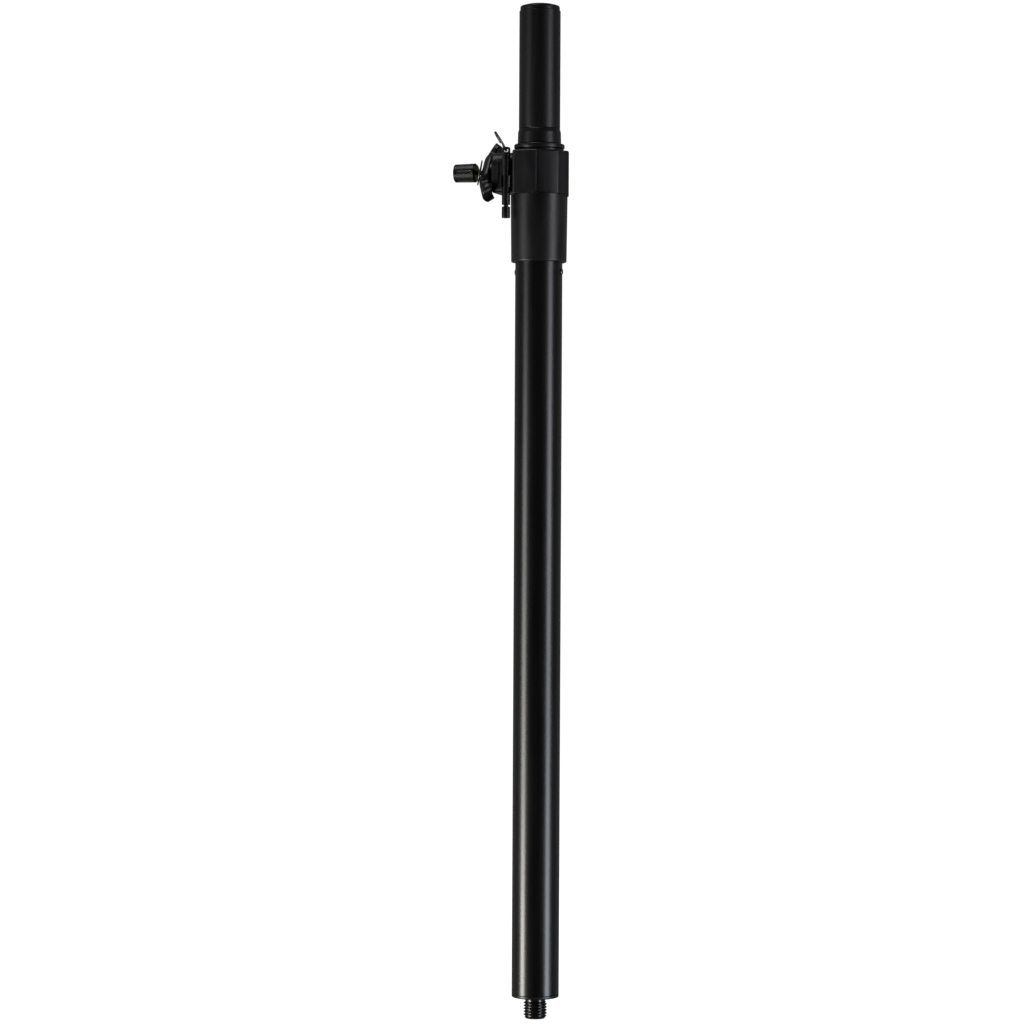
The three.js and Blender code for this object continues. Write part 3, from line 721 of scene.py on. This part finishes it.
def clamp_collar():
    low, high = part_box("clamp_collar")
    shell = collar_shell(low.z)
    boss = collar_boss(-low.x)
    neck_bottom = COLLAR_TOP - 3 * MM
    neck = turned("neck", [
        (0, neck_bottom), (NECK_R, neck_bottom), (NECK_R, high.z, 0.4 * MM), (0, high.z)], 144)
    seams = []
    grooves = []
    for side in (1, -1):
        seam = rod("seam", SEAM_R, low.z + 4 * MM, COLLAR_TOP - 2 * MM, 24)
        seams.append(moved(seam, Matrix.Translation((SEAM_X, side * SEAM_Y, 0))))
        groove_place = (GROOVE_X, side * BOSS_HALF_WIDE, CLAMP_Z)
        grooves.append(box("groove", groove_place, (1.3 * MM, 1.6 * MM, 22.7 * MM)))
    combined(shell, "UNION", neck, boss, pin_clip(), *seams)
    return combined(shell, "DIFFERENCE", collar_bore(low.z, high.z), screw_hole(), *grooves)


def pin_clip():
    """An open spring clip on the boss's flank that holds the safety pin."""
    x, y, radius = pin_place()
    bore, outside = radius + GAP, radius + 2.1 * MM
    low, high = 684.5 * MM, 694.5 * MM
    mouth = 5.6 * MM
    clip = turned("clip", [
        (bore, low, 0.3 * MM), (outside, low, 0.5 * MM), (outside, high, 0.5 * MM),
        (bore, high, 0.3 * MM)], 64)
    moved(clip, Matrix.Translation((x, y, 0)))
    middle = Vector((x, y - outside / 2 - 1 * MM, (low + high) / 2))
    return combined(clip, "DIFFERENCE", box("mouth", middle, (mouth, outside, 12 * MM)))


# ---------------------------------------------------------------- clamp knob, screw and plunger

KNOB_TIP_R = 29.3 * MM           # the knob is a bar with two wings that sweep back towards the pole
KNOB_HALF_WIDE = 9.5 * MM
KNOB_SQUARE = 4.5                # exponent of its outline: 2 is an ellipse, and more is squarer
KNOB_EDGE = 0.9 * MM
KNOB_FACE = 50.9 * MM
KNOB_SLOPE = 0.39                # sweep of the wings, for each metre of reach
KNOB_SWEEP_FROM = 13.8 * MM
KNOB_CROWN = 6 * MM              # how far the bar's flanks lie behind its ridge
KNOB_CROWN_POWER = 2.2           # how much of that drop comes near the flanks
TIP_GATHER = 0.4                 # below 1, the outline's points gather near the tips
KNOB_HOLE_R = 2.4 * MM
KNOB_HUB_R = 9 * MM
KNOB_HUB_END = 40.3 * MM
KNOB_WEB = 48 * MM               # inside of the knob's middle, in front of the screw's end
KNOB_UNDERCUT = 0.14             # how far the wings' tips draw in on the pole's side, as a share
KNOB_UNDERSIDE = (               # (reach, distance from the pole's axis) in millimetres
    (0, 41.5), (14, 41.5), (18, 40.6), (22, 38.7), (24.5, 36.6), (30, 35.2))
FINGER_PLACE = 17 * MM
FINGER_WIDTH = 4.5 * MM
FINGER_DEPTH = 0.3               # as a share of the half width
WING_TURN = math.radians(37)
SCREW_R = 7 * MM
ROD_R = 2 * MM
RING_YAW = math.radians(18)      # the wire ring lies askew on the knob
RING_TIP = math.radians(10)


def wing_outline(turn):
    """Direction and reach of a point of the knob's outline."""
    direction = math.atan2(TIP_GATHER * math.sin(turn), math.cos(turn))
    along = abs(math.cos(direction)) / KNOB_TIP_R
    across = abs(math.sin(direction)) / KNOB_HALF_WIDE
    return direction, (along ** KNOB_SQUARE + across ** KNOB_SQUARE) ** (-1 / KNOB_SQUARE)


def finger_hollow(along, across):
    """The share of its width that is left where the fingers lie."""
    from_middle = (abs(along) - FINGER_PLACE) / FINGER_WIDTH
    return 1 - FINGER_DEPTH * math.exp(-from_middle ** 2) * min(1, abs(across) / KNOB_HALF_WIDE)


def knob_top(along, across):
    ridge = KNOB_FACE - KNOB_SLOPE * max(0, math.hypot(abs(along), 4 * MM) - KNOB_SWEEP_FROM)
    return ridge - KNOB_CROWN * min(1.3, abs(across) / KNOB_HALF_WIDE) ** KNOB_CROWN_POWER


def knob_underside(radius):
    """A hollow that clears the boss as the knob turns."""
    for (r0, s0), (r1, s1) in zip(KNOB_UNDERSIDE, KNOB_UNDERSIDE[1:]):
        if radius <= r1 * MM:
            return (s0 + (s1 - s0) * (radius / MM - r0) / (r1 - r0)) * MM
    return KNOB_UNDERSIDE[-1][1] * MM


def clamp_knob():
    sides = 224
    form = bmesh.new()
    turn = Matrix.Rotation(WING_TURN, 3, "Z")

    def row(place):
        corners = []
        for i in range(sides):
            direction, reach = wing_outline(2 * math.pi * i / sides)
            corners.append(form.verts.new(turn @ Vector(place(direction, reach))))
        return corners

    def top(share, drop=0.0, shrink=0.0):
        def place(direction, reach):
            radius = KNOB_HOLE_R + (reach - shrink - KNOB_HOLE_R) * share
            x, y = radius * math.cos(direction), radius * math.sin(direction)
            return x, y * finger_hollow(x, y), knob_top(x, y) - drop
        return place

    def flank(depth):
        def place(direction, reach):
            x, y = reach * math.cos(direction), reach * math.sin(direction)
            y *= finger_hollow(x, y)
            high = knob_top(x, y) - KNOB_EDGE
            x_low = x * (1 - KNOB_UNDERCUT * abs(x) / KNOB_TIP_R)
            low = knob_underside(math.hypot(x_low, y)) + KNOB_EDGE
            return x + (x_low - x) * depth, y, high + (low - high) * depth
        return place

    def below(share):
        def place(direction, reach):
            x, y = reach * math.cos(direction), reach * math.sin(direction)
            x *= 1 - KNOB_UNDERCUT * abs(x) / KNOB_TIP_R
            y *= finger_hollow(x, y)
            radius = math.hypot(x, y) - KNOB_EDGE
            inner = KNOB_HUB_R + (radius - KNOB_HUB_R) * share
            angle = math.atan2(y, x)
            return inner * math.cos(angle), inner * math.sin(angle), knob_underside(inner)
        return place

    def ring(radius, height):
        return lambda direction, reach: (radius * math.cos(direction), radius * math.sin(direction), height)

    rows = [row(top(share)) for share in (0, 0.08, 0.2, 0.35, 0.5, 0.62, 0.74, 0.84, 0.92)]
    for angle in (0.3, 0.6, 0.9, 1.2):
        rows.append(row(top(1, KNOB_EDGE * (1 - math.cos(angle)), KNOB_EDGE * (1 - math.sin(angle)))))
    rows += [row(flank(depth)) for depth in (0, 0.12, 0.3, 0.5, 0.7, 0.88, 1)]
    rows += [row(below(share)) for share in (1, 0.8, 0.6, 0.4, 0.2, 0)]
    rows += [row(ring(KNOB_HUB_R - 0.1 * MM, KNOB_HUB_END)), row(ring(SCREW_R + GAP, KNOB_HUB_END)),
             row(ring(SCREW_R + GAP, KNOB_WEB)), row(ring(KNOB_HOLE_R, KNOB_WEB))]
    for low, high in zip(rows, rows[1:] + rows[:1]):
        link_rows(form, low, high)
    return to_clamp_axis(finish_mesh("knob", form))


def hub_ring():
    mean, wire = 10.4 * MM, 0.55 * MM
    place = Matrix.Translation((0, 0, 53.1 * MM))
    path = [point.to_3d() for point in circle(mean, 96)]
    ring = swept("wire_ring", path, circle(wire, 14), closed=True)
    tilt = Matrix.Rotation(RING_YAW, 4, "X") @ Matrix.Rotation(RING_TIP, 4, "Y")
    return to_clamp_axis(moved(ring, place @ tilt))


def clamp_screw():
    radius, start, end = sideways("clamp_screw")
    bore = 3.4 * MM
    rod_hole = ROD_R + 0.4 * MM
    spring_seat = 46 * MM
    pitch = 2 * MM
    rows = 160
    outline = [(bore, start)]
    outline += [(radius, start + (end - start) * k / rows) for k in range(rows + 1)]
    outline += [(rod_hole, end), (rod_hole, spring_seat), (bore, spring_seat)]

    def cut_thread(r, height, angle):
        if r < radius:
            return r, height
        from_end = min(height - start, end - height)
        thread = thread_radius(height, angle, radius, radius - 1.1 * MM, pitch)
        return min(thread, radius - 1.2 * MM + from_end), height

    return to_clamp_axis(turned("screw", outline, 72, cut_thread))


def plunger_pin():
    radius, start, end = sideways("plunger_pin")
    shoulder = 24 * MM
    return to_clamp_axis(turned("plunger", [
        (0, start), (radius, start, 1.2 * MM), (radius, shoulder, 0.3 * MM), (ROD_R, shoulder),
        (ROD_R, end, 0.3 * MM), (0, end)], 48))


def plunger_spring():
    """An open coil on the rod, built at one length; the real spring shortens as the pin is pulled out."""
    mean, wire, turns = 2.7 * MM, 0.3 * MM, 7
    start, end = 24.7 * MM, 45.3 * MM
    count = turns * 32
    path = []
    for k in range(count + 1):
        angle = 2 * math.pi * turns * k / count
        height = start + (end - start) * k / count
        path.append(Vector((mean * math.cos(angle), mean * math.sin(angle), height)))
    return to_clamp_axis(swept("spring", path, circle(wire, 10)))


def head_bush():
    radius, start, end = sideways("head_bush")
    bore = ROD_R + GAP
    return to_clamp_axis(turned("bush", [
        (bore, start, 0.3 * MM), (radius, start, 0.6 * MM), (radius, end), (bore, end)], 72))


HEAD_FLUTES = 6
FLUTE_DEPTH = 0.9 * MM
FLUTE_HALF_WIDE = 1.95 * MM


def pull_head():
    radius, start, end = sideways("pull_head")
    outer = radius - 0.4 * MM
    recess = 7.4 * MM
    bore = ROD_R + GAP
    rows = 24
    outline = [(recess, start, 0.2 * MM), (radius, start, 0.3 * MM)]
    for k in range(1, rows):
        share = k / rows
        outline.append((radius + (outer - radius) * share, start + (end - start) * share))
    outline += [(outer, end, 0.6 * MM), (5 * MM, end, 0.3 * MM), (4.6 * MM, end - 0.4 * MM, 0.3 * MM),
                (0, end - 0.4 * MM)]
    recess_end, bore_end = 60.3 * MM, 70.3 * MM
    inside = [(0, bore_end), (bore, bore_end), (bore, recess_end), (recess, recess_end)]

    def flute(r, height, angle):
        if r < outer - 0.2 * MM:
            return r, height
        from_end = min(height - start, end - height)
        length = min(1, max(0, (from_end - 2 * MM) / (1.2 * MM)))
        length = math.sin(length * math.pi / 2)
        turn = (angle / (2 * math.pi) * HEAD_FLUTES) % 1 - 0.5
        across = turn * 2 * math.pi * r / HEAD_FLUTES
        hollow = max(0, 1 - (across / FLUTE_HALF_WIDE) ** 2)
        return r - FLUTE_DEPTH * length * math.sqrt(hollow) * min(1, hollow * 3), height

    return to_clamp_axis(turned("head", outline + inside, 180, flute))


# ---------------------------------------------------------------- safety pin and its ring

EYE_R = 1.7 * MM
EYE_DROP = 3 * MM                # how far the eye lies below the pin's top
EYE_YAW = math.radians(18)
RING_LEAN = math.radians(31.5)
RING_MEAN_R = 9.2 * MM


def pin_place():
    """(x, y, radius) of the safety pin."""
    low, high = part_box("safety_pin")
    return (low.x + high.x) / 2, (low.y + high.y) / 2, (high.x - low.x) / 2


def eye_place():
    x, y, _ = pin_place()
    return Vector((x, y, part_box("safety_pin")[1].z - EYE_DROP))


def safety_pin():
    x, y, radius = pin_place()
    low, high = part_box("safety_pin")
    bottom, top = low.z, high.z
    groove = bottom + 9.5 * MM
    neck = 1.9 * MM
    pin = turned("pin", [
        (0, bottom), (radius, bottom, 0.5 * MM), (radius, groove, 0.2 * MM),
        (neck, groove + 0.3 * MM, 0.2 * MM), (neck, groove + 1.4 * MM, 0.2 * MM),
        (radius, groove + 1.7 * MM, 0.2 * MM), (radius, top, 2 * MM), (0, top)], 72)
    moved(pin, Matrix.Translation((x, y, 0)))
    drill = rod("drill", EYE_R, -6 * MM, 6 * MM, 40)
    aim = Matrix.Rotation(EYE_YAW, 4, "Z") @ Matrix.Rotation(math.pi / 2, 4, "X")
    moved(drill, Matrix.Translation(eye_place()) @ aim)
    return combined(pin, "DIFFERENCE", drill)


def split_ring():
    """Two turns of flat wire on each other. The wire steps to the second level before they overlap."""
    level = 0.46 * MM
    half_wide, half_thick, corner = 0.6 * MM, 0.4 * MM, 0.15 * MM
    step = math.radians(30)
    start = 2.2                  # where the wire's end lies round the ring, in radians
    count = 190
    path = []
    for k in range(count + 1):
        angle = (4 * math.pi - step * 1.15) * k / count
        rise = min(1, max(0, (angle - 2 * math.pi + step) / step))
        height = level * (2 * rise * rise * (3 - 2 * rise) - 1)
        turn = start + angle
        path.append(Vector((RING_MEAN_R * math.cos(turn), RING_MEAN_R * math.sin(turn), height)))
    section = rounded([
        (half_wide, -half_thick, corner), (half_wide, half_thick, corner), (-half_wide, half_thick, corner),
        (-half_wide, -half_thick, corner)], True, 3)
    ring = swept("wire", path, section)
    lean = Matrix.Rotation(EYE_YAW, 4, "Z") @ Matrix.Rotation(-math.pi / 2 - RING_LEAN, 4, "Y")
    hang = Matrix.Translation((RING_MEAN_R - 0.35 * MM, 0, 0))
    return moved(ring, Matrix.Translation(eye_place()) @ lean @ hang)


# ---------------------------------------------------------------- rivets

def guide_rivet(node, side):
    """A blind rivet: a low dome round the mandrel's hole."""
    low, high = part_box(node)
    height = (low.z + high.z) / 2
    head_r = (high.z - low.z) / 2
    inner, outer = sorted((abs(low.x), abs(high.x)))
    shank = 2 * MM
    seat = TUBE_SEAT_R
    rivet = turned("rivet", [
        (0, inner), (shank, inner, 0.2 * MM), (shank, seat), (head_r, seat, 0.15 * MM),
        (head_r * 0.8, seat + (outer - seat) * 0.75, 0.5 * MM), (head_r * 0.4, outer, 0.2 * MM),
        (head_r * 0.33, outer - 0.4 * MM, 0.1 * MM), (0, outer - 0.4 * MM)], 48)
    to_clamp_axis(rivet)
    moved(rivet, Matrix.Translation((0, 0, height - CLAMP_Z)))
    if side < 0:
        moved(rivet, Matrix.Rotation(math.pi, 4, "Z"))
    return rivet


# ---------------------------------------------------------------- the pole

BUILDERS = {
    "outer_tube": outer_tube,
    "bottom_cap": bottom_cap,
    "stud_bolt": stud_bolt,
    "tube_socket": tube_socket,
    "clamp_collar": clamp_collar,
    "inner_tube": mast_tube,
    "support_ring": support_ring,
    "support_band": support_band,
    "spigot_sleeve": spigot_sleeve,
    "spigot_cap": spigot_cap,
    "clamp_knob": clamp_knob,
    "clamp_screw": clamp_screw,
    "hub_ring": hub_ring,
    "plunger_pin": plunger_pin,
    "head_bush": head_bush,
    "pull_head": pull_head,
    "safety_pin": safety_pin,
    "split_ring": split_ring,
    "guide_rivet_front": lambda: guide_rivet("guide_rivet_front", 1),
    "guide_rivet_back": lambda: guide_rivet("guide_rivet_back", -1),
}


def build_pole():
    for node, build in BUILDERS.items():
        stand_in(build(), node)
    spring = plunger_spring()
    stand_in(spring, "plunger_spring")
    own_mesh(spring)


def finish_cad_nodes():
    """The CAD nodes that nothing replaces are inside the pole, and only get their materials."""
    for name, node in frame["nodes"].items():
        for slot in node.material_slots:
            slot.material = MATERIALS[SLOT_OF_NODE[name]]


place_camera()
softbox("left_softbox", LEFT_ANGLE, LEFT_POWER, LEFT_COLOURS)
softbox("right_softbox", RIGHT_ANGLE, RIGHT_POWER, RIGHT_COLOURS)
area_light("top_softbox", TOP_SIZE, TOP_SIZE, TOP_POWER, TOP_PLACE)
white_surroundings()
lay_floor()
bpy.context.scene.view_settings.view_transform = "Standard"
build_pole()
finish_cad_nodes()
